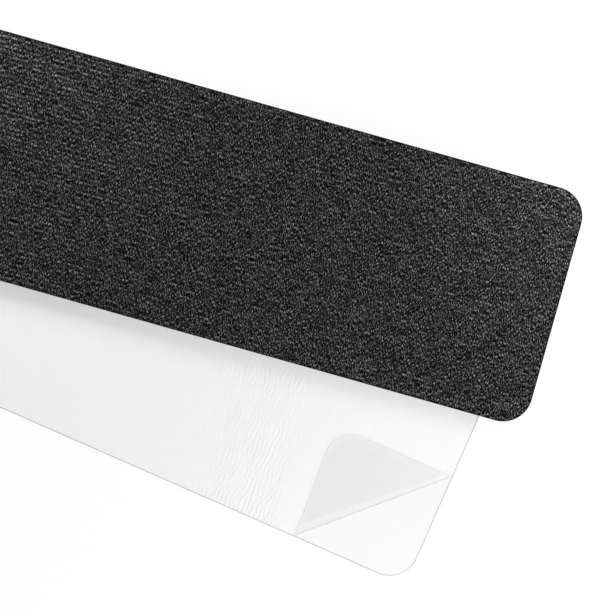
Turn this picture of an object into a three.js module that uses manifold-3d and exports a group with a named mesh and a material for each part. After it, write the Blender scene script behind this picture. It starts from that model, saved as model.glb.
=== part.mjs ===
// A self-adhesive stair tread mat: a ribbed felt strip that lies, fanned out, on its own clear adhesive
// film. The film's release liner is turned back at one corner and wrinkled beside it.
// Millimetres, +Z up. The origin is the centre of the film's underside, the face that sticks to a stair.
// +X runs along the felt strip, towards the end where the liner is turned back.
import * as THREE from "three";
import { mergeVertices } from "three/addons/utils/BufferGeometryUtils.js";
import Module from "manifold-3d";

// Outline that the felt, the film and the liner are all die cut to
const treadLength = 760;
const treadWidth = 200;
const cornerRadius = 24.5;
const cornerSegments = 8;

// Felt strip: flat-topped ribs along its whole length, and a rounded top edge
const feltThickness = 4;
const ribPitch = 4;
const ribDepth = 0.6;
const ribTop = 1.2;
const ribFlank = 0.8;
const firstRib = 3.5;
const shoulderRadius = 1;
const shoulderSegments = 2;

// Clear film and its liner
const filmThickness = 0.25;
const linerThickness = 0.125;

// How the film is fanned out: its turn, and how far the felt lies ahead of it and behind it, between
// their sharp corners at the turned-back end
const fanAngle = THREE.MathUtils.degToRad(7.95);
const feltAhead = 59;
const feltSetBack = 152;

// Turned-back corner: where the crease meets the front and end edges, from the sharp corner; the radius
// of the bend at both ends of the crease; and how the flap comes down to lie on the liner
const creaseOnFront = 100;
const creaseOnEnd = 97.5;
const bendRadiusFront = 1.2;
const bendRadiusEnd = 0.6;
const overbend = THREE.MathUtils.degToRad(28);
const bendSteps = 12;
const settleSteps = 5;
const flapGap = 0.3;

// Wrinkles: broken ridges across the liner, side by side, between the crease and the middle. Their lines
// lean back from the crease. Heights and lengths are varied by a turn that steps on from ridge to ridge.
const wrinkleStart = 112;
const wrinkleBand = 84;
const wrinklePitch = 4.2;
const wrinkleWidth = 1.6;
const wrinkleHeight = 0.4;
const wrinkleSway = 1.1;
const wrinkleLean = THREE.MathUtils.degToRad(4.4);
const wrinkleTwist = THREE.MathUtils.degToRad(7);
const wrinklesInLine = 5;
const wrinkleClearance = 2;
const outerWrinkleHeight = 0.4 * wrinkleHeight;
const wrinkleLengthShare = 0.8;
const wrinkleLengthChange = 0.15;
const turnByLine = 2.4;
const turnByPlace = 1.9;

const wasm = await Module();
wasm.setup();

// A closed three.js geometry as a solid that can be joined or cut.
function solid(geometry) {
  geometry.deleteAttribute("normal");
  geometry.deleteAttribute("uv");
  const merged = mergeVertices(geometry, 1e-5);
  return new wasm.Manifold(
    new wasm.Mesh({
      numProp: 3,
      vertProperties: merged.attributes.position.array,
      triVerts: new Uint32Array(merged.index.array),
    }),
  );
}

// A solid turned back into a three.js geometry.
function geometryOf(made) {
  const mesh = made.getMesh();
  const geometry = new THREE.BufferGeometry();
  geometry.setAttribute("position", new THREE.BufferAttribute(mesh.vertProperties, 3));
  geometry.setIndex(new THREE.BufferAttribute(mesh.triVerts, 1));
  geometry.computeVertexNormals();
  return geometry;
}

// The die-cut outline, counter-clockwise about its own centre, from the corner that gets turned back.
function outline() {
  const x = treadLength / 2 - cornerRadius;
  const y = treadWidth / 2 - cornerRadius;
  const shape = new THREE.Shape();
  shape.absarc(x, -y, cornerRadius, -Math.PI / 2, 0);
  shape.absarc(x, y, cornerRadius, 0, Math.PI / 2);
  shape.absarc(-x, y, cornerRadius, Math.PI / 2, Math.PI);
  shape.absarc(-x, -y, cornerRadius, Math.PI, 1.5 * Math.PI);
  return shape;
}

// The felt's section, front to back, ribs and all, pushed along its length. It is a rib too wide on
// each side, and the outline cuts it.
function ribbedSlab() {
  const valley = feltThickness - ribDepth;
  const firstCentre = firstRib - treadWidth / 2 - ribPitch;
  const ribs = Math.ceil(treadWidth / ribPitch) + 2;
  const section = new THREE.Shape();
  section.moveTo(firstCentre - ribPitch / 2, 0);
  for (let rib = 0; rib < ribs; rib++) {
    const centre = firstCentre + rib * ribPitch;
    section.lineTo(centre - ribTop / 2 - ribFlank, valley);
    section.lineTo(centre - ribTop / 2, feltThickness);
    section.lineTo(centre + ribTop / 2, feltThickness);
    section.lineTo(centre + ribTop / 2 + ribFlank, valley);
  }
  section.lineTo(firstCentre + (ribs - 0.5) * ribPitch, 0);
  const slab = new THREE.ExtrudeGeometry(section, { depth: treadLength, bevelEnabled: false });
  // The section's own X, Y and depth become Y, Z and X.
  const [x, y, z] = [new THREE.Vector3(1, 0, 0), new THREE.Vector3(0, 1, 0), new THREE.Vector3(0, 0, 1)];
  slab.applyMatrix4(new THREE.Matrix4().makeBasis(y, z, x));
  slab.translate(-treadLength / 2, 0, 0);
  return slab;
}

// The outline as a block with a rounded top edge. Its lower edge is rounded too, below the underside.
function shoulderedBlock() {
  const block = new THREE.ExtrudeGeometry(outline(), {
    depth: feltThickness,
    curveSegments: cornerSegments,
    bevelThickness: shoulderRadius,
    bevelSize: shoulderRadius,
    bevelOffset: -shoulderRadius,
    bevelSegments: shoulderSegments,
  });
  block.translate(0, 0, -shoulderRadius);
  return block;
}

function feltStrip() {
  return geometryOf(solid(ribbedSlab()).intersect(solid(shoulderedBlock())));
}

function adhesiveFilm() {
  return new THREE.ExtrudeGeometry(outline(), {
    depth: filmThickness,
    curveSegments: cornerSegments,
    bevelEnabled: false,
  });
}

// The crease on the film's plan: its two ends, the direction along it, and the way to the corner.
const sharpCorner = new THREE.Vector2(treadLength / 2, -treadWidth / 2);
const creaseStart = sharpCorner.clone().sub(new THREE.Vector2(creaseOnFront, 0));
const creaseEnd = sharpCorner.clone().add(new THREE.Vector2(0, creaseOnEnd));
const alongCrease = creaseEnd.clone().sub(creaseStart).normalize();
const toCorner = new THREE.Vector2(alongCrease.y, -alongCrease.x);
const fullTurn = Math.PI + overbend;

// The bend at a point of the flat liner. It narrows evenly along the crease: first the liner turns up
// and over by fullTurn, then a wider bend the other way lets it settle. beyond is how far past the line
// where it lifts off the point lies.
function bendAt(point) {
  const away = point.clone().sub(creaseStart);
  const along = away.dot(alongCrease);
  const share = along / creaseStart.distanceTo(creaseEnd);
  const radius = THREE.MathUtils.lerp(bendRadiusFront, bendRadiusEnd, share);
  const drop = radius * (1 + Math.cos(overbend)) - linerThickness - flapGap;
  const settleRadius = drop / (1 - Math.cos(overbend));
  return { along, beyond: away.dot(toCorner) + radius, radius, settleRadius };
}

// Where a point of the flat liner comes to lie: its place on the plan, its height and its slope.
function folded(point) {
  const { along, beyond, radius, settleRadius } = bendAt(point);
  const turned = THREE.MathUtils.clamp(beyond / radius, 0, fullTurn);
  const settled = THREE.MathUtils.clamp((beyond - radius * fullTurn) / settleRadius, 0, overbend);
  const flat = Math.min(beyond, 0);
  const onFlap = Math.max(beyond - radius * fullTurn - settleRadius * overbend, 0);
  const slope = turned - settled;
  const out =
    flat + radius * Math.sin(turned) + settleRadius * (Math.sin(turned) - Math.sin(slope)) - onFlap;
  const height = radius * (1 - Math.cos(turned)) + settleRadius * (Math.cos(slope) - Math.cos(turned));
  const plan = creaseStart.clone().addScaledVector(alongCrease, along);
  plan.addScaledVector(toCorner, out - radius);
  return { plan, height, slope };
}

// Cuts a convex outline in two along the line where side() is zero. Both parts share the new corners.
function split(points, side) {
  const parts = [[], []];
  points.forEach((point, i) => {
    const next = points[(i + 1) % points.length];
    const here = side(point);
    const there = side(next);
    parts[here <= 0 ? 0 : 1].push(point);
    if (here <= 0 !== there <= 0) {
      const cut = point.clone().lerp(next, here / (here - there));
      parts.forEach((part) => part.push(cut));
    }
  });
  return parts;
}

// The liner's outline in strips: the part that stays flat, one for each step of the bend, and the flap.
function linerStrips() {
  const strips = [];
  let rest = outline().getPoints(cornerSegments);
  for (let step = 0; step <= bendSteps + settleSteps; step++) {
    const turned = Math.min(step / bendSteps, 1) * fullTurn;
    const settled = (Math.max(step - bendSteps, 0) / settleSteps) * overbend;
    const [before, after] = split(rest, (point) => {
      const { beyond, radius, settleRadius } = bendAt(point);
      return beyond - radius * turned - settleRadius * settled;
    });
    strips.push(before);
    rest = after;
  }
  return [...strips, rest];
}

// The liner as a closed shell: both faces of every strip, and a wall along the outline.
function foldedLiner() {
  const strips = linerStrips();
  const positions = [];
  const face = (point, side) => {
    const { plan, height, slope } = folded(point);
    const offset = (side * linerThickness) / 2;
    plan.addScaledVector(toCorner, -offset * Math.sin(slope));
    return [plan.x, plan.y, linerThickness / 2 + height + offset * Math.cos(slope)];
  };
  const triangle = (...corners) => positions.push(...corners.flat());
  for (const strip of strips) {
    for (let i = 1; i < strip.length - 1; i++) {
      const [a, b, c] = [strip[0], strip[i], strip[i + 1]];
      triangle(face(a, 1), face(b, 1), face(c, 1));
      triangle(face(a, -1), face(c, -1), face(b, -1));
    }
  }
  const edges = strips.flatMap((strip) => strip.map((a, i) => [a, strip[(i + 1) % strip.length]]));
  for (const [a, b] of edges) {
    if (edges.some(([c, d]) => c === b && d === a)) continue;
    triangle(face(a, -1), face(b, -1), face(b, 1));
    triangle(face(a, -1), face(b, 1), face(a, 1));
  }
  const shell = new THREE.BufferGeometry();
  shell.setAttribute("position", new THREE.Float32BufferAttribute(positions, 3));
  return shell;
}

// The felt's centre over the film, and the felt's front edge on the film's own plan at a given x.
const feltCentre = sharpCorner
  .clone()
  .rotateAround(new THREE.Vector2(), -fanAngle)
  .add(new THREE.Vector2(feltAhead, feltSetBack))
  .sub(sharpCorner);

function feltFrontAt(x) {
  const onEdge = feltCentre.clone().sub(new THREE.Vector2(0, treadWidth / 2));
  onEdge.rotateAround(new THREE.Vector2(), fanAngle);
  return onEdge.y + (x - onEdge.x) * Math.tan(fanAngle);
}

// One ridge of a wrinkle: a low peak on a long diamond, with its foot inside the liner.
function ridge(centre, length, angle, height) {
  const peak = new THREE.ConeGeometry(1, 1, 4);
  peak.rotateX(Math.PI / 2);
  peak.translate(0, 0, 0.5);
  peak.scale(wrinkleWidth / 2, length / 2, height + linerThickness / 2);
  peak.rotateZ(angle);
  peak.translate(centre.x, centre.y, linerThickness / 2);
  return solid(peak);
}

// The ridges: lines side by side, each swaying across the liner from its front edge towards the felt.
// Those in the middle of the band are the highest.
function wrinkles() {
  const ridges = [];
  const lines = Math.floor(wrinkleBand / wrinklePitch);
  const front = wrinkleClearance - treadWidth / 2;
  for (let line = 0; line < lines; line++) {
    const foot = treadLength / 2 - wrinkleStart - (line + 0.5) * wrinklePitch;
    const furthestBack = foot - treadWidth * Math.tan(wrinkleLean);
    const back = feltFrontAt(furthestBack) - wrinkleClearance;
    const share = (line + 0.5) / lines;
    const step = (back - front) / wrinklesInLine;
    for (let place = 0; place < wrinklesInLine; place++) {
      const y = front + (place + 0.5) * step;
      const turn = line * turnByLine + place * turnByPlace;
      const x = foot - (y - front) * Math.tan(wrinkleLean) + wrinkleSway * Math.sin(turn);
      const height = THREE.MathUtils.lerp(outerWrinkleHeight, wrinkleHeight, Math.sin(Math.PI * share));
      const length = step * (wrinkleLengthShare + wrinkleLengthChange * Math.cos(turn));
      const angle = wrinkleLean + wrinkleTwist * Math.cos(turn);
      ridges.push(ridge(new THREE.Vector2(x, y), length, angle, height));
    }
  }
  return ridges;
}

function releaseLiner() {
  return geometryOf(wrinkles().reduce((liner, made) => liner.add(made), solid(foldedLiner())));
}

function part(name, geometry, color, roughness) {
  const material = new THREE.MeshStandardMaterial({ color, roughness, metalness: 0 });
  const mesh = new THREE.Mesh(geometry, material);
  mesh.name = name;
  return mesh;
}

const tread = new THREE.Group();

const film = part("adhesive_film", adhesiveFilm(), 0xf6f8f8, 0.2);
film.rotation.z = -fanAngle;

const liner = part("release_liner", releaseLiner(), 0xe4e6e8, 0.35);
liner.rotation.z = -fanAngle;
liner.position.z = filmThickness;

const felt = part("tread_mat", feltStrip(), 0x353535, 0.95);
felt.position.set(feltCentre.x, feltCentre.y, filmThickness + linerThickness);

tread.add(film, liner, felt);

export default tread;
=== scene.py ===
"""Anti slip stair tread mat: a ribbed felt strip on its clear adhesive film, with the liner turned back.

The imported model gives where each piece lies. Lengths are in metres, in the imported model's own frame:
+X along the felt strip, +Y across it, +Z up, and the origin at the middle of the film's underside.
"""

import logging
import math
from collections.abc import Callable, Sequence
from dataclasses import dataclass, field
from enum import Enum
from typing import Any

import bmesh
import bpy
from mathutils import Matrix, Vector, noise


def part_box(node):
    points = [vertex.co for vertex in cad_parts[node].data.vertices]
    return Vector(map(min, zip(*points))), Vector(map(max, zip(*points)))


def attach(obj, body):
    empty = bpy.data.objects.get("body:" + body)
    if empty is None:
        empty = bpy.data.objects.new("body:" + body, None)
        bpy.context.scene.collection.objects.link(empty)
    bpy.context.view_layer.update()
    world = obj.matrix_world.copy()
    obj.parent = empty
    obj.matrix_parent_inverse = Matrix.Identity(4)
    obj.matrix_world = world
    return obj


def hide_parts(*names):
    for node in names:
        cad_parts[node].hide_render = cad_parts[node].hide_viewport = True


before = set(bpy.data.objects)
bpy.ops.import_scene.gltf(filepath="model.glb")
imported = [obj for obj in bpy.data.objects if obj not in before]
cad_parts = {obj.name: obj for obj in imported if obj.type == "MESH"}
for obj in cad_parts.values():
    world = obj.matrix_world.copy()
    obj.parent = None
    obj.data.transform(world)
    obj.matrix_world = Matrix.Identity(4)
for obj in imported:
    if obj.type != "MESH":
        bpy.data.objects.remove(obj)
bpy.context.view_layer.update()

MM = 0.001
# Each sheet is kept this far inside its own space, so that no two faces share a place.
HAIR_GAP = 0.01 * MM
# A point of a blank that is closer to a scored line than this lies on it.
SAME_PLACE = 0.0001 * MM
# The film and its liner are fanned out this far from under the felt.
FAN_TURN = math.radians(7.95)
# Fibres stand this far out of the felt's cut edge.
FRAY = 0.12 * MM

log = logging.getLogger("stair_tread")


class Region(Enum):
    """The parts of a die-cut sheet that differ in finish, as material slots."""

    FACE = 0
    CUT_EDGE = 1


def linear(hex_colour: str) -> tuple[float, float, float, float]:
    """Turn an sRGB hex colour into the linear one that a shader takes.

    Args:
        hex_colour: The colour, as #rrggbb.

    Returns:
        Its linear red, green and blue, and an alpha of 1.
    """
    shares = [int(hex_colour[i : i + 2], 16) / 255 for i in (1, 3, 5)]
    lit = [c / 12.92 if c <= 0.04045 else ((c + 0.055) / 1.055) ** 2.4 for c in shares]
    return (lit[0], lit[1], lit[2], 1.0)


def smooth(value: float, low: float, high: float) -> float:
    """Ease a value from 0 at low to 1 at high.

    Args:
        value: The value to ease.
        low: Where the result leaves 0.
        high: Where it reaches 1.

    Returns:
        The eased share, from 0 to 1.
    """
    share = min(max((value - low) / (high - low), 0.0), 1.0)
    return share * share * (3 - 2 * share)


def add_node(
    tree: bpy.types.NodeTree, kind: str, inputs: dict[Any, Any] | None = None, **settings: Any
) -> bpy.types.Node:
    """Add a shader node with its settings, values and links.

    Args:
        tree: The material's node tree.
        kind: The node's type name.
        inputs: Input name or number to a value, or to the output that feeds it.
        settings: The node's own properties.

    Returns:
        The new node.
    """
    node = tree.nodes.new(kind)
    for name, value in settings.items():
        setattr(node, name, value)
    for key, value in (inputs or {}).items():
        if isinstance(value, bpy.types.NodeSocket):
            tree.links.new(value, node.inputs[key])
        else:
            node.inputs[key].default_value = value
    return node


def add_ramp(
    tree: bpy.types.NodeTree, factor: bpy.types.NodeSocket, stops: Sequence[tuple[float, str]]
) -> bpy.types.NodeSocket:
    """Add a colour ramp.

    Args:
        tree: The material's node tree.
        factor: The output that runs along the ramp.
        stops: Each stop's position and sRGB hex colour.

    Returns:
        The ramp's colour output.
    """
    ramp = add_node(tree, "ShaderNodeValToRGB", {"Fac": factor})
    elements = ramp.color_ramp.elements
    while len(elements) < len(stops):
        elements.new(0.5)
    for element, (position, colour) in zip(elements, stops):
        element.position = position
        element.color = linear(colour)
    return ramp.outputs["Color"]


@dataclass(frozen=True)
class Finish:
    """What every finish shares: a name, and how its material is made."""

    name: str

    def wire(self, tree: bpy.types.NodeTree, shader: bpy.types.Node) -> None:
        """Set and link the shader of this finish.

        Args:
            tree: The material's node tree.
            shader: Its Principled BSDF.
        """
        raise NotImplementedError

    def material(self) -> bpy.types.Material:
        """Make the material, or give the one that is made already.

        Returns:
            The material.
        """
        made = bpy.data.materials.get(self.name)
        if made is None:
            made = bpy.data.materials.new(self.name)
            made.use_nodes = True
            self.wire(made.node_tree, made.node_tree.nodes["Principled BSDF"])
        return made


@dataclass(frozen=True)
class NeedleFelt(Finish):
    """Needle-punched polyester felt, spun-dyed charcoal: matt, and peppered with paler fibre tips."""

    name: str = "needle_felt_charcoal"
    grain: float = 0.5 * MM
    grain_stretch: float = 0.2
    tuft: float = 9 * MM
    tuft_share: float = 0.06
    nap_height: float = 0.5 * MM
    nap_bump: float = 0.2
    roughness: float = 0.95
    specular: float = 0.02
    # From the dark between the fibres to the tips that catch the light.
    flecks: tuple[tuple[float, str], ...] = (
        (0.455, "#040404"),
        (0.515, "#0a0a0a"),
        (0.565, "#1c1c1d"),
        (0.61, "#383839"),
        (0.655, "#69696a"),
        (0.70, "#a2a2a3"),
    )

    def wire(self, tree: bpy.types.NodeTree, shader: bpy.types.Node) -> None:
        """Grain of fibre tips over slightly darker and lighter tufts, darkened along the squeezed cut edge
        and in the rib valleys by painted shade, and the same grain as bump.
        """
        place = add_node(tree, "ShaderNodeTexCoord").outputs["Object"]
        # The needles leave each fleck longer across the ribs than along them. It is drawn in plan, so
        # that the ribs don't cut it short, and coarser than real fibres, which are too fine to show.
        stretched = add_node(
            tree, "ShaderNodeMapping", {"Vector": place, "Scale": (1.0, self.grain_stretch, 0.0)}
        ).outputs["Vector"]
        fleck = add_node(
            tree,
            "ShaderNodeTexNoise",
            {"Vector": stretched, "Scale": 1 / self.grain, "Detail": 1.0, "Roughness": 0.7},
        ).outputs["Fac"]
        tuft = add_node(
            tree,
            "ShaderNodeTexNoise",
            {"Vector": place, "Scale": 1 / self.tuft, "Detail": 1.0, "Roughness": 0.5},
        ).outputs["Fac"]
        mixed = add_node(
            tree,
            "ShaderNodeMath",
            {0: tuft, 1: self.tuft_share, 2: fleck},
            operation="MULTIPLY_ADD",
        ).outputs["Value"]
        colour = add_ramp(tree, mixed, self.flecks)
        # Painted shade: darker along the cut edge, where the fibres are also squeezed, and in the valleys
        # between the ribs.
        squeeze_and_shade = add_node(tree, "ShaderNodeAttribute", attribute_name="squeeze_and_shade").outputs["Fac"]
        shaded = add_node(
            tree,
            "ShaderNodeMix",
            {"Factor": 1.0, 6: colour, 7: squeeze_and_shade},
            data_type="RGBA",
            blend_type="MULTIPLY",
        ).outputs[2]
        bump = add_node(
            tree,
            "ShaderNodeBump",
            {"Height": fleck, "Strength": self.nap_bump, "Distance": self.nap_height},
        ).outputs["Normal"]
        tree.links.new(shaded, shader.inputs["Base Color"])
        tree.links.new(bump, shader.inputs["Normal"])
        shader.inputs["Roughness"].default_value = self.roughness
        shader.inputs["Specular IOR Level"].default_value = self.specular


@dataclass(frozen=True)
class ClearSheet(Finish):
    """A clear or translucent polymer film, thin enough to take no colour: glossy, with a faint haze."""

    colour: str = "#d8dadb"
    opacity: float = 0.1
    roughness: float = 0.2
    ior: float = 1.5
    haze: float = 0.0
    haze_size: float = 30 * MM

    def wire(self, tree: bpy.types.NodeTree, shader: bpy.types.Node) -> None:
        """A thin film over what lies under it, a little denser where its haze gathers."""
        place = add_node(tree, "ShaderNodeTexCoord").outputs["Object"]
        cloud = add_node(
            tree,
            "ShaderNodeTexNoise",
            {"Vector": place, "Scale": 1 / self.haze_size, "Detail": 3.0, "Roughness": 0.55},
        ).outputs["Fac"]
        # The cloud keeps to about 0.3 to 0.7.
        density = add_node(
            tree,
            "ShaderNodeMapRange",
            {
                "Value": cloud,
                "From Min": 0.3,
                "From Max": 0.7,
                "To Min": self.opacity - self.haze,
                "To Max": self.opacity + self.haze,
            },
        ).outputs["Result"]
        tree.links.new(density, shader.inputs["Alpha"])
        shader.inputs["Base Color"].default_value = linear(self.colour)
        shader.inputs["Roughness"].default_value = self.roughness
        shader.inputs["IOR"].default_value = self.ior


@dataclass(frozen=True)
class LinerFilm(ClearSheet):
    """Siliconised release film: milky, with painted grey shade on its crease and a painted highlight where
    the flap springs up.
    """

    # Painted shade: the grey of the steep bend along the crease.
    crease: str = "#d2d4d5"
    # Painted highlight: the band beside the fold where the flap springs up is whiter.
    sprung_highlight: str = "#ffffff"
    back: str = "#f4f4f4"
    # How far through the fold the tone leaves the flat sheet's, and over what span it is the painted
    # highlight of the band where the flap springs up.
    flat_until: float = 0.08
    highlight_span: tuple[float, float] = (0.5, 0.86)

    def wire(self, tree: bpy.types.NodeTree, shader: bpy.types.Node) -> None:
        """The milky film, with its colour led through the fold: painted shade on the crease and a painted
        highlight where the flap springs up.
        """
        super().wire(tree, shader)
        fold = add_node(tree, "ShaderNodeAttribute", attribute_name="fold").outputs["Fac"]
        low, high = self.highlight_span
        stops = ((self.flat_until, self.colour), (low, self.sprung_highlight), (high, self.sprung_highlight), (1.0, self.back))
        turned = add_ramp(tree, fold, stops)
        # Painted shade: the crease's grey laid over the bend and the first of the flap.
        painted_crease_shade = add_node(tree, "ShaderNodeAttribute", attribute_name="crease").outputs["Fac"]
        colour = add_node(
            tree,
            "ShaderNodeMix",
            {"Factor": painted_crease_shade, 6: turned, 7: linear(self.crease)},
            data_type="RGBA",
        ).outputs[2]
        tree.links.new(colour, shader.inputs["Base Color"])


@dataclass(frozen=True)
class Paint(Finish):
    """Matt white emulsion paint, rolled on: one even tone with no gloss, which takes soft shadows."""

    colour: str = "#f2f2f2"
    camera_lift: float = 0.92

    def wire(self, tree: bpy.types.NodeTree, shader: bpy.types.Node) -> None:
        """White to the camera and to reflections and clear films, and still showing shadows."""
        shader.inputs["Base Color"].default_value = linear(self.colour)
        shader.inputs["Roughness"].default_value = 0.9
        shader.inputs["Specular IOR Level"].default_value = 0.0
        path = add_node(tree, "ShaderNodeLightPath").outputs
        seen = add_node(
            tree,
            "ShaderNodeMath",
            {0: path["Is Camera Ray"], 1: path["Is Glossy Ray"]},
            operation="MAXIMUM",
        ).outputs["Value"]
        shown = add_node(
            tree,
            "ShaderNodeMath",
            {0: seen, 1: path["Is Transmission Ray"]},
            operation="MAXIMUM",
        ).outputs["Value"]
        lift = add_node(
            tree, "ShaderNodeEmission", {"Color": (1, 1, 1, 1), "Strength": 1.0}
        ).outputs["Emission"]
        amount = add_node(
            tree, "ShaderNodeMath", {0: shown, 1: self.camera_lift}, operation="MULTIPLY"
        ).outputs["Value"]
        mixed = add_node(
            tree,
            "ShaderNodeMixShader",
            {0: amount, 1: shader.outputs["BSDF"], 2: lift},
        ).outputs["Shader"]
        output = tree.nodes["Material Output"]
        tree.links.new(mixed, output.inputs["Surface"])


@dataclass
class Outline:
    """The die-cut outline that the felt, the film and the liner share."""

    length: float
    width: float
    corner_radius: float = 24.5 * MM
    corner_segments: int = 16

    def blank(self, rings: Sequence[float] = ()) -> bmesh.types.BMesh:
        """Cut a flat blank to the outline.

        Args:
            rings: Widths of the rings along its edge, from the outside in.

        Returns:
            The blank as one face inside its rings, whose slot is that of the cut edge.
        """
        bm = bmesh.new()
        bmesh.ops.create_grid(bm, x_segments=1, y_segments=1, size=0.5)
        bmesh.ops.scale(bm, vec=(self.length, self.width, 1.0), verts=bm.verts)
        bmesh.ops.bevel(
            bm,
            geom=bm.verts[:],
            offset=self.corner_radius,
            offset_type="OFFSET",
            affect="VERTICES",
            segments=self.corner_segments,
            profile=0.5,
            material=-1,
        )
        inner = bm.faces[:]
        for width in rings:
            made = bmesh.ops.inset_region(
                bm, faces=inner, thickness=width, use_boundary=True, use_even_offset=True
            )
            for face in made["faces"]:
                face.material_index = Region.CUT_EDGE.value
        return bm

    def depth_inside(self, x: float, y: float) -> float:
        """Measure how far inside the outline a point lies.

        Args:
            x: The point's place along the blank, from its middle.
            y: Its place across the blank.

        Returns:
            The distance to the outline.
        """
        over_x = abs(x) - (self.length / 2 - self.corner_radius)
        over_y = abs(y) - (self.width / 2 - self.corner_radius)
        past_corner = math.hypot(max(over_x, 0.0), max(over_y, 0.0))
        return self.corner_radius - past_corner - min(max(over_x, over_y), 0.0)


def score(
    bm: bmesh.types.BMesh,
    point: Vector,
    across: Vector,
    reach: Callable[[bmesh.types.BMFace], bool] | None = None,
) -> None:
    """Score a line into a flat blank, which gives it an edge there.

    Args:
        bm: The blank.
        point: A point on the line.
        across: The direction across the line.
        reach: Says of a face whether the line is scored into it. Without it, all of them are.
    """
    if reach is None:
        geom = bm.verts[:] + bm.edges[:] + bm.faces[:]
    else:
        faces = [f for f in bm.faces if reach(f)]
        edges = {e for f in faces for e in f.edges}
        verts = {v for f in faces for v in f.verts}
        geom = list(verts) + list(edges) + faces
    bmesh.ops.bisect_plane(bm, geom=geom, dist=SAME_PLACE, plane_co=point, plane_no=across)


def spread(low: float, high: float, spacing: float) -> list[float]:
    """Space lines evenly between two limits, leaving the limits themselves out.

    Args:
        low: The lower limit.
        high: The upper one.
        spacing: The widest space between two lines.

    Returns:
        The lines' places.
    """
    count = math.ceil((high - low) / spacing)
    return [low + (high - low) * i / count for i in range(1, count)]


def show(bm: bmesh.types.BMesh, name: str, place: Matrix, finishes: Sequence[Finish]) -> bpy.types.Object:
    """Turn a finished mesh into a piece of the scene that rides on the model.

    Args:
        bm: The mesh, in its own place. It is freed.
        name: The piece's name.
        place: Where the piece lies in the model's frame. It goes into the mesh.
        finishes: The finish of each material slot.

    Returns:
        The piece, at the origin and unturned.
    """
    bmesh.ops.transform(bm, matrix=place, verts=bm.verts)
    mesh = bpy.data.meshes.new(name)
    bm.to_mesh(mesh)
    bm.free()
    piece = bpy.data.objects.new(name, mesh)
    bpy.context.scene.collection.objects.link(piece)
    for finish in finishes:
        mesh.materials.append(finish.material())
    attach(piece, "root")
    return piece


def thicken(piece: bpy.types.Object, sheet: float) -> None:
    """Give a flat or folded sheet its thickness, half to each side.

    Args:
        piece: The sheet.
        sheet: Its thickness.
    """
    shell = piece.modifiers.new("sheet thickness", "SOLIDIFY")
    shell.thickness = sheet
    shell.offset = 0.0


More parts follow.
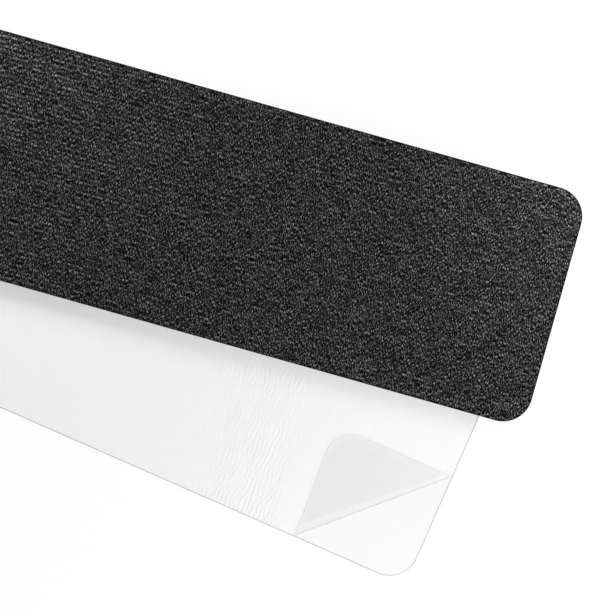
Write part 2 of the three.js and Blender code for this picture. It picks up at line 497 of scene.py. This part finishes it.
@dataclass
class FeltMat:
    """The mat: needle felt with ribs along it, and edges rounded by the cutting die."""

    outline: Outline
    place: Vector
    thickness: float
    rib_pitch: float = 4 * MM
    rib_depth: float = 0.5 * MM
    first_rib: float = 3.5 * MM
    shoulder: float = 0.8 * MM
    shoulder_rings: tuple[float, ...] = (0.06 * MM, 0.12 * MM, 0.2 * MM, 0.28 * MM, 0.5 * MM)
    # How far in from the cut edge the felt is darkest, and where it is left alone: the die squeezes the
    # fibres flat there, and painted shade darkens the edge.
    squeezed_and_shaded_rim: tuple[float, float] = (0.3 * MM, 1.3 * MM)
    # At the cut edge the felt keeps this share of its colour: squeezed fibres and painted shade.
    rim_squeeze_and_shade: float = 0.1
    # Painted shade: at the bottom of each valley between the ribs the felt keeps this share of its colour.
    valley_shade: float = 0.82
    lump_size: float = 5 * MM
    lump_height: float = 0.12 * MM
    lines_per_rib: int = 6
    column_spacing: float = 4 * MM
    finish: NeedleFelt = field(default_factory=NeedleFelt)

    def valley(self, y: float) -> float:
        """Give how deep in the valley between two ribs a point is, from 0 on a rib to 1."""
        turn = 2 * math.pi * (y + self.outline.width / 2 - self.first_rib) / self.rib_pitch
        return (1 - math.cos(turn)) / 2

    def squeeze_and_shade(self, x: float, y: float) -> float:
        """Give how much of its colour the felt keeps: less at the cut edge, where the die squeezes the
        fibres and painted shade darkens it, and painted shade in the valleys between the ribs.

        Args:
            x: The point's place along the mat, from its middle.
            y: Its place across the mat.

        Returns:
            The share of its colour that the felt keeps there.
        """
        rim = smooth(self.outline.depth_inside(x, y), *self.squeezed_and_shaded_rim)
        return (self.rim_squeeze_and_shade + (1 - self.rim_squeeze_and_shade) * rim) * (1 - (1 - self.valley_shade) * self.valley(y))

    def height(self, x: float, y: float) -> float:
        """Give the felt's thickness at a point of its plan.

        Args:
            x: The point's place along the mat, from its middle.
            y: Its place across the mat.

        Returns:
            The height of the top face over the underside.
        """
        inside = max(self.outline.depth_inside(x, y), 0.0)
        spot = Vector((x, y, 0.0)) / self.lump_size
        lump = self.lump_height * noise.noise(spot)
        gap = max(self.shoulder - inside, 0.0)
        shoulder_drop = self.shoulder - math.sqrt(self.shoulder**2 - gap**2)
        return self.thickness - self.rib_depth * self.valley(y) - shoulder_drop + lump

    def top(self) -> bmesh.types.BMesh:
        """Cut the blank and raise its ribs.

        Returns:
            The top face of the mat, with a finer grid over its shoulder.
        """
        bm = self.outline.blank(self.shoulder_rings)
        half_width = self.outline.width / 2
        for y in spread(-half_width, half_width, self.rib_pitch / self.lines_per_rib):
            score(bm, Vector((0, y, 0)), Vector((0, 1, 0)))
        half_length = self.outline.length / 2
        for x in spread(-half_length, half_length, self.column_spacing):
            score(bm, Vector((x, 0, 0)), Vector((1, 0, 0)))
        # Painted shade on the felt: darker along its cut edge, where the die also squeezes the fibres, and
        # in the valleys between the ribs.
        squeeze_and_shade = bm.verts.layers.float.new("squeeze_and_shade")
        for vert in bm.verts:
            vert[squeeze_and_shade] = self.squeeze_and_shade(vert.co.x, vert.co.y)
            vert.co.z = self.height(vert.co.x, vert.co.y)
        return bm

    def close(self, bm: bmesh.types.BMesh) -> None:
        """Bring the cut wall down from the edge, and close the underside.

        Args:
            bm: The top face.
        """
        rim = [e for e in bm.edges if e.is_boundary]
        made = bmesh.ops.extrude_edge_only(bm, edges=rim)["geom"]
        for vert in (v for v in made if isinstance(v, bmesh.types.BMVert)):
            vert.co.z = 0.0
        bmesh.ops.contextual_create(bm, geom=[e for e in bm.edges if e.is_boundary])
        bmesh.ops.recalc_face_normals(bm, faces=bm.faces)

    def build(self) -> bpy.types.Object:
        """Build and dress the mat.

        Returns:
            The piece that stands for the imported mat.
        """
        bm = self.top()
        self.close(bm)
        for face in bm.faces:
            face.smooth = True
            face.material_index = Region.FACE.value
        lift = Vector((0, 0, HAIR_GAP))
        piece = show(bm, "ribbed_felt_mat", Matrix.Translation(self.place + lift), [self.finish])
        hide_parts("tread_mat")
        return piece


@dataclass
class Crease:
    """How the liner's front corner is turned back: a narrowing bend, and a flap that settles flat."""

    outline: Outline
    sheet: float
    on_front: float = 100 * MM
    on_end: float = 97.5 * MM
    radius_front: float = 0.45 * MM
    radius_end: float = 0.35 * MM
    # The bend turns past half a circle by this, and an easier one brings the flap back to level.
    overbend: float = math.radians(6.6)
    flap_gap: float = 0.3 * MM
    bend_steps: int = 20
    settle_steps: int = 10
    fullness: float = 0.07
    slant: float = 0.1
    # How far in from the fold the painted shade of its grey crease line keeps its full tone, and where it
    # is gone.
    crease_shade: tuple[float, float] = (1.05 * MM, 1.6 * MM)

    def __post_init__(self) -> None:
        """Work out the crease line from where it meets the edges."""
        corner = Vector((self.outline.length / 2, -self.outline.width / 2))
        self.start = corner - Vector((self.on_front, 0))
        end = corner + Vector((0, self.on_end))
        self.reach = (end - self.start).length
        self.along = (end - self.start).normalized()
        self.to_corner = Vector((self.along.y, -self.along.x))
        self.full_turn = math.pi + self.overbend

    def fill_out(self, bm: bmesh.types.BMesh) -> None:
        """Cut the corner past the crease a little fuller and more slanted than the film's corner.

        Args:
            bm: The flat blank.
        """
        score(bm, self.start.to_3d(), self.to_corner.to_3d())
        for vert in bm.verts:
            past = max((vert.co.to_2d() - self.start).dot(self.to_corner), 0.0)
            shift = past * (self.fullness * self.to_corner - self.slant * self.along)
            vert.co += shift.to_3d()

    def radii(self, along: float) -> tuple[float, float]:
        """Give the radius of the bend, and of the easier one that settles it, at a place on the crease.

        Args:
            along: The distance along the crease from the front edge.

        Returns:
            Both radii.
        """
        share = along / self.reach
        bend = self.radius_front + (self.radius_end - self.radius_front) * share
        drop = bend * (1 + math.cos(self.overbend)) - self.sheet - self.flap_gap
        return bend, drop / (1 - math.cos(self.overbend))

    def step_line(self, step: int) -> tuple[Vector, Vector]:
        """Give one of the lines of the flat liner along which it bends.

        Args:
            step: The number of the line, from 0 where the liner lifts off.

        Returns:
            A point on the line and the direction across it.
        """
        turned = min(step / self.bend_steps, 1) * self.full_turn
        settled = max(step - self.bend_steps, 0) / self.settle_steps * self.overbend
        ends = []
        for along in (0.0, self.reach):
            bend, settle = self.radii(along)
            beyond = bend * turned + settle * settled - bend
            ends.append(self.start + self.along * along + self.to_corner * beyond)
        line = (ends[1] - ends[0]).normalized()
        return ends[0].to_3d(), Vector((line.y, -line.x, 0))

    def laid(self, flat: Vector) -> tuple[Vector, float, float]:
        """Find where a point of the flat liner comes to lie.

        Args:
            flat: The point, on the liner's middle plane.

        Returns:
            Its place, how far through the fold it is, which is 0 before it, 0.5 past the bend and 1 once
            settled, and how much of the painted grey shade on the crease it bears.
        """
        away = flat.to_2d() - self.start
        along = away.dot(self.along)
        bend, settle = self.radii(along)
        beyond = away.dot(self.to_corner) + bend
        turned = min(max(beyond / bend, 0.0), self.full_turn)
        settled = min(max((beyond - bend * self.full_turn) / settle, 0.0), self.overbend)
        on_flap = max(beyond - bend * self.full_turn - settle * self.overbend, 0.0)
        slope = turned - settled
        out = min(beyond, 0.0) + bend * math.sin(turned) - on_flap - bend
        out += settle * (math.sin(turned) - math.sin(slope))
        height = bend * (1 - math.cos(turned)) + settle * (math.cos(slope) - math.cos(turned))
        plan = self.start + self.along * along + self.to_corner * out
        passed = (turned / self.full_turn + settled / self.overbend) / 2
        crease_shade_share = 1 - smooth(-out, *self.crease_shade) if turned > 0 else 0.0
        return Vector((plan.x, plan.y, height)), passed, crease_shade_share


@dataclass
class Wrinkles:
    """The liner's wrinkles: two crossing sets of close ridges, bowed by the pull, in a leaning band."""

    outline: Outline
    felt_front: float
    near_end: float = 106 * MM
    full_from: float = 128 * MM
    full_to: float = 170 * MM
    far_end: float = 206 * MM
    band_lean: float = math.radians(10.5)
    lean: float = math.radians(8)
    bow: float = 390 * MM
    cross_lean: float = math.radians(10)
    pitch: float = 3.7 * MM
    height: float = 0.36 * MM
    waver: float = 1.6 * MM
    waver_size: float = 10 * MM
    patch_width: float = 6 * MM
    patch_run: float = 9 * MM
    # The felt holds the liner down less and less up to this far from its edge.
    flat_near_felt: float = 24 * MM
    # Nearer to the felt than this, the liner doesn't rise at all.
    pinned: float = 0.3 * MM
    # The sway is read off the noise at this height, away from the one that makes the patches.
    waver_slice: float = 7 * MM
    # A set of ridges is gone where its noise is under the first of these, and full over the second.
    patch_rise: tuple[float, float] = (-0.1, 0.15)

    def room(self, flat: Vector) -> float:
        """Give how free a point of the liner is to rise, as the felt holds down what lies under it.

        Args:
            flat: The point of the flat liner.

        Returns:
            A share from 0 under the felt to 1 clear of it.
        """
        y = flat.y * math.cos(FAN_TURN) - flat.x * math.sin(FAN_TURN)
        return smooth(self.felt_front - y, self.pinned, self.flat_near_felt)

    def wave(self, across: float) -> float:
        """Give the profile of one set of ridges, from 0 between them to 1 on their crests."""
        return ((1 + math.cos(2 * math.pi * across / self.pitch)) / 2) ** 2

    def lift(self, flat: Vector) -> float:
        """Give how far the wrinkles lift a point of the flat liner off the film.

        Args:
            flat: The point.

        Returns:
            The lift.
        """
        climb = flat.y + self.outline.width / 2
        from_end = self.outline.length / 2 - flat.x
        in_band = from_end - climb * math.tan(self.band_lean)
        near = smooth(in_band, self.near_end, self.full_from)
        far = 1 - smooth(in_band, self.full_to, self.far_end)
        if near * far == 0:
            return 0.0
        sway = self.waver * noise.noise(Vector((flat.x, flat.y, self.waver_slice)) / self.waver_size)
        across = from_end + climb * math.tan(self.lean) - climb**2 / (2 * self.bow) + sway
        patch = noise.noise(Vector((across / self.patch_width, climb / self.patch_run, 0.0)))
        ridges = [
            smooth(side * patch, *self.patch_rise)
            * self.wave(across + side * climb * math.tan(self.cross_lean))
            for side in (-1, 1)
        ]
        return self.height * near * far * max(ridges) * self.room(flat)


@dataclass
class ReleaseLiner:
    """The release liner: one thin translucent sheet, wrinkled and turned back at its front corner."""

    outline: Outline
    base_height: float
    sheet: float
    felt_front: float
    edge_ring: float = 0.45 * MM
    # The band of wrinkles leans, so its fine grid goes on this far past its far end.
    band_slack: float = 25 * MM
    # The grid stops under the felt, where the liner lies flat.
    band_top: float = 45 * MM
    row_spacing: float = 1.8 * MM
    column_spacing: float = 0.55 * MM
    # Milky and satin: the floor shows through it, and each wrinkle keeps a soft light and dark side.
    finish: LinerFilm = LinerFilm(
        "siliconised_liner_film",
        colour="#f9f9f9",
        opacity=0.3,
        roughness=0.3,
        ior=1.5,
        haze=0.01,
        haze_size=25 * MM,
    )
    # The cut edge turns the light aside, so it draws a fine grey line round the sheet.
    edge_finish: LinerFilm = LinerFilm(
        "liner_cut_edge", colour="#96999b", opacity=0.3, roughness=0.4, ior=1.5, back="#e8e8e8"
    )

    def score_wrinkles(self, bm: bmesh.types.BMesh, wrinkles: Wrinkles) -> float:
        """Score the fine grid that the wrinkles are raised on.

        Args:
            bm: The flat blank.
            wrinkles: The wrinkles.

        Returns:
            Where along the blank the grid ends towards the fold.
        """
        half_length = self.outline.length / 2
        low = half_length - wrinkles.far_end - self.band_slack
        high = half_length - wrinkles.near_end
        for x in (low, high):
            score(bm, Vector((x, 0, 0)), Vector((1, 0, 0)))
        score(bm, Vector((0, self.band_top, 0)), Vector((0, 1, 0)))

        def in_band(face: bmesh.types.BMFace) -> bool:
            """Say whether a face is in the wrinkled band."""
            middle = face.calc_center_median()
            return low < middle.x < high and middle.y < self.band_top

        for y in spread(-self.outline.width / 2, self.band_top, self.row_spacing):
            score(bm, Vector((0, y, 0)), Vector((0, 1, 0)), in_band)
        for x in spread(low, high, self.column_spacing):
            score(bm, Vector((x, 0, 0)), Vector((1, 0, 0)), in_band)
        return high

    def lay(self, bm: bmesh.types.BMesh, crease: Crease, wrinkles: Wrinkles) -> None:
        """Fold the scored blank and raise its wrinkles.

        Args:
            bm: The blank. It gets the attributes that its finish reads.
            crease: The fold.
            wrinkles: The wrinkles.
        """
        # How far through the fold each point is, which also places the painted highlight of the sprung
        # band.
        fold = bm.verts.layers.float.new("fold")
        # Painted shade: how much of the crease's grey each point bears.
        crease_shade = bm.verts.layers.float.new("crease")
        for vert in bm.verts:
            lift = Vector((0, 0, wrinkles.lift(vert.co)))
            placed, vert[fold], vert[crease_shade] = crease.laid(vert.co)
            vert.co = placed + lift if vert[fold] == 0 else placed
        for face in bm.faces:
            face.smooth = True

    def build(self) -> bpy.types.Object:
        """Build and dress the liner.

        Returns:
            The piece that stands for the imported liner.
        """
        crease = Crease(self.outline, self.sheet)
        wrinkles = Wrinkles(self.outline, self.felt_front)
        bm = self.outline.blank([self.edge_ring])
        crease.fill_out(bm)
        grid_end = self.score_wrinkles(bm, wrinkles)
        for step in range(crease.bend_steps + crease.settle_steps + 1):
            point, across = crease.step_line(step)
            score(bm, point, across, lambda face: face.calc_center_median().x > grid_end)
        self.lay(bm, crease, wrinkles)
        middle = self.base_height + self.sheet / 2
        place = Matrix.Translation((0, 0, middle)) @ Matrix.Rotation(-FAN_TURN, 4, "Z")
        piece = show(bm, "wrinkled_release_liner", place, [self.finish, self.edge_finish])
        thicken(piece, self.sheet)
        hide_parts("release_liner")
        return piece


@dataclass
class AdhesiveFilm:
    """The clear double-sided adhesive film, flat on what it lies on."""

    outline: Outline
    sheet: float
    edge_ring: float = 0.8 * MM
    # Clear and glossy: all but unseen where it lies on the floor.
    finish: ClearSheet = ClearSheet(
        "clear_adhesive_film", colour="#b4b7b8", opacity=0.05, roughness=0.15, ior=1.48
    )
    # The cut edge turns the light aside, so it draws a fine grey line round the film.
    edge_finish: ClearSheet = ClearSheet(
        "film_cut_edge", colour="#85888a", opacity=0.36, roughness=0.4, ior=1.48
    )

    def build(self) -> bpy.types.Object:
        """Build and dress the film.

        Returns:
            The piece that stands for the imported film.
        """
        bm = self.outline.blank([self.edge_ring])
        for face in bm.faces:
            face.smooth = True
        place = Matrix.Translation((0, 0, self.sheet / 2)) @ Matrix.Rotation(-FAN_TURN, 4, "Z")
        piece = show(bm, "clear_adhesive_film", place, [self.finish, self.edge_finish])
        thicken(piece, self.sheet)
        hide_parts("adhesive_film")
        return piece


@dataclass(frozen=True)
class SoftBox:
    """One soft lamp: where it hangs, how wide and high it is, its power and what it is turned to."""

    name: str
    at: tuple[float, float, float]
    size: tuple[float, float]
    watts: float
    aim: tuple[float, float, float] | None = None

    def hang(self, middle: Vector) -> None:
        """Hang the lamp, turned to its aim, or without one to the middle of the view.

        Args:
            middle: The middle of the view.
        """
        light = bpy.data.lights.new(self.name, "AREA")
        light.shape = "RECTANGLE"
        light.size, light.size_y = self.size
        light.energy = self.watts
        lamp = bpy.data.objects.new(self.name, light)
        lamp.location = self.at
        lamp.visible_camera = False
        aim = middle if self.aim is None else Vector(self.aim)
        lamp.rotation_euler = (aim - Vector(self.at)).to_track_quat("-Z", "Y").to_euler()
        bpy.context.scene.collection.objects.link(lamp)


@dataclass
class Studio:
    """The floor, the sky, the soft lamps and the camera straight above."""

    mat_middle: Vector
    outline: Outline
    view_turn: float = math.radians(15.757)
    view_width: float = 510.0 * MM
    view_from_end: float = 198.8 * MM
    view_from_front: float = 47.35 * MM
    lens: float = 300.0
    sensor: float = 36.0
    floor_size: float = 12.0
    floor_drop: float = 0.2 * MM
    sky: float = 0.05
    # Low lamps on both sides give the felt's edge its soft shadow and rake over the wrinkles.
    boxes: tuple[SoftBox, ...] = (
        SoftBox("soft_box_left", (-0.4, 0.5, 0.12), (0.25, 0.12), 10.8),
        SoftBox("soft_box_back", (-0.3, 0.8, 0.12), (0.3, 0.15), 3.6),
        SoftBox("soft_box_end", (0.52, 0.28, 0.12), (0.12, 0.12), 0.75, aim=(0.38, 0.1, 0.0)),
        SoftBox("soft_box_front", (0.83, -0.75, 0.3), (0.8, 0.4), 23.2),
    )

    def floor(self) -> None:
        """Lay the pale floor."""
        bm = bmesh.new()
        bmesh.ops.create_grid(bm, x_segments=1, y_segments=1, size=self.floor_size / 2)
        mesh = bpy.data.meshes.new("studio_floor")
        bm.to_mesh(mesh)
        bm.free()
        floor = bpy.data.objects.new("studio_floor", mesh)
        floor.location.z = -self.floor_drop
        bpy.context.scene.collection.objects.link(floor)
        mesh.materials.append(Paint("matt_white_paint").material())

    def target(self) -> Vector:
        """Give the point at the middle of the view, on top of the felt."""
        right = Vector((self.outline.length / 2 - self.view_from_end, 0, 0))
        up = Vector((0, self.view_from_front - self.outline.width / 2, 0))
        return self.mat_middle + right + up

    def camera(self) -> None:
        """Set the camera straight above, turned as the photograph is."""
        view = bpy.data.cameras.new("top_view")
        view.lens = self.lens
        view.sensor_width = self.sensor
        camera = bpy.data.objects.new("top_view", view)
        camera.location = self.target() + Vector((0, 0, self.view_width * self.lens / self.sensor))
        camera.rotation_euler.z = self.view_turn
        bpy.context.scene.collection.objects.link(camera)
        bpy.context.scene.camera = camera

    def world(self) -> None:
        """Fill the shadows from a pale sky, which is white to the camera."""
        world = bpy.data.worlds.new("pale_sky")
        bpy.context.scene.world = world
        world.use_nodes = True
        tree = world.node_tree
        background = tree.nodes["Background"]
        background.inputs["Color"].default_value = (1, 1, 1, 1)
        seen = add_node(tree, "ShaderNodeLightPath").outputs["Is Camera Ray"]
        strength = add_node(
            tree,
            "ShaderNodeMapRange",
            {"Value": seen, "To Min": self.sky, "To Max": 1.0},
        ).outputs["Result"]
        tree.links.new(strength, background.inputs["Strength"])

    def build(self) -> None:
        """Set up the whole studio."""
        self.floor()
        self.world()
        for box in self.boxes:
            box.hang(self.target())
        self.camera()
        bpy.context.scene.view_settings.view_transform = "Standard"


def main() -> None:
    """Build the pieces in order, then the studio."""
    logging.basicConfig(level=logging.INFO, format="%(name)s: %(message)s")
    low, high = (Vector(corner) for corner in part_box("tread_mat"))
    size = high - low
    outline = Outline(length=size.x, width=size.y)
    underside = Vector(((low.x + high.x) / 2, (low.y + high.y) / 2, low.z))
    film_low, film_high = (Vector(corner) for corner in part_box("adhesive_film"))
    film_sheet = film_high.z - film_low.z
    liner_sheet = low.z - film_high.z
    film = AdhesiveFilm(outline, film_sheet - 2 * HAIR_GAP).build()
    log.info("%s laid: %.2f mm thick", film.name, film_sheet / MM)
    liner = ReleaseLiner(outline, film_high.z, liner_sheet - 2 * HAIR_GAP, low.y).build()
    log.info("%s laid and turned back: %d faces", liner.name, len(liner.data.polygons))
    frayed = Outline(size.x + 2 * FRAY, size.y + 2 * FRAY, outline.corner_radius + FRAY)
    mat = FeltMat(frayed, underside, size.z).build()
    log.info("%s laid: %d faces", mat.name, len(mat.data.polygons))
    Studio(underside + Vector((0, 0, size.z)), outline).build()
    log.info("studio set up")


if __name__ == "__main__":
    main()
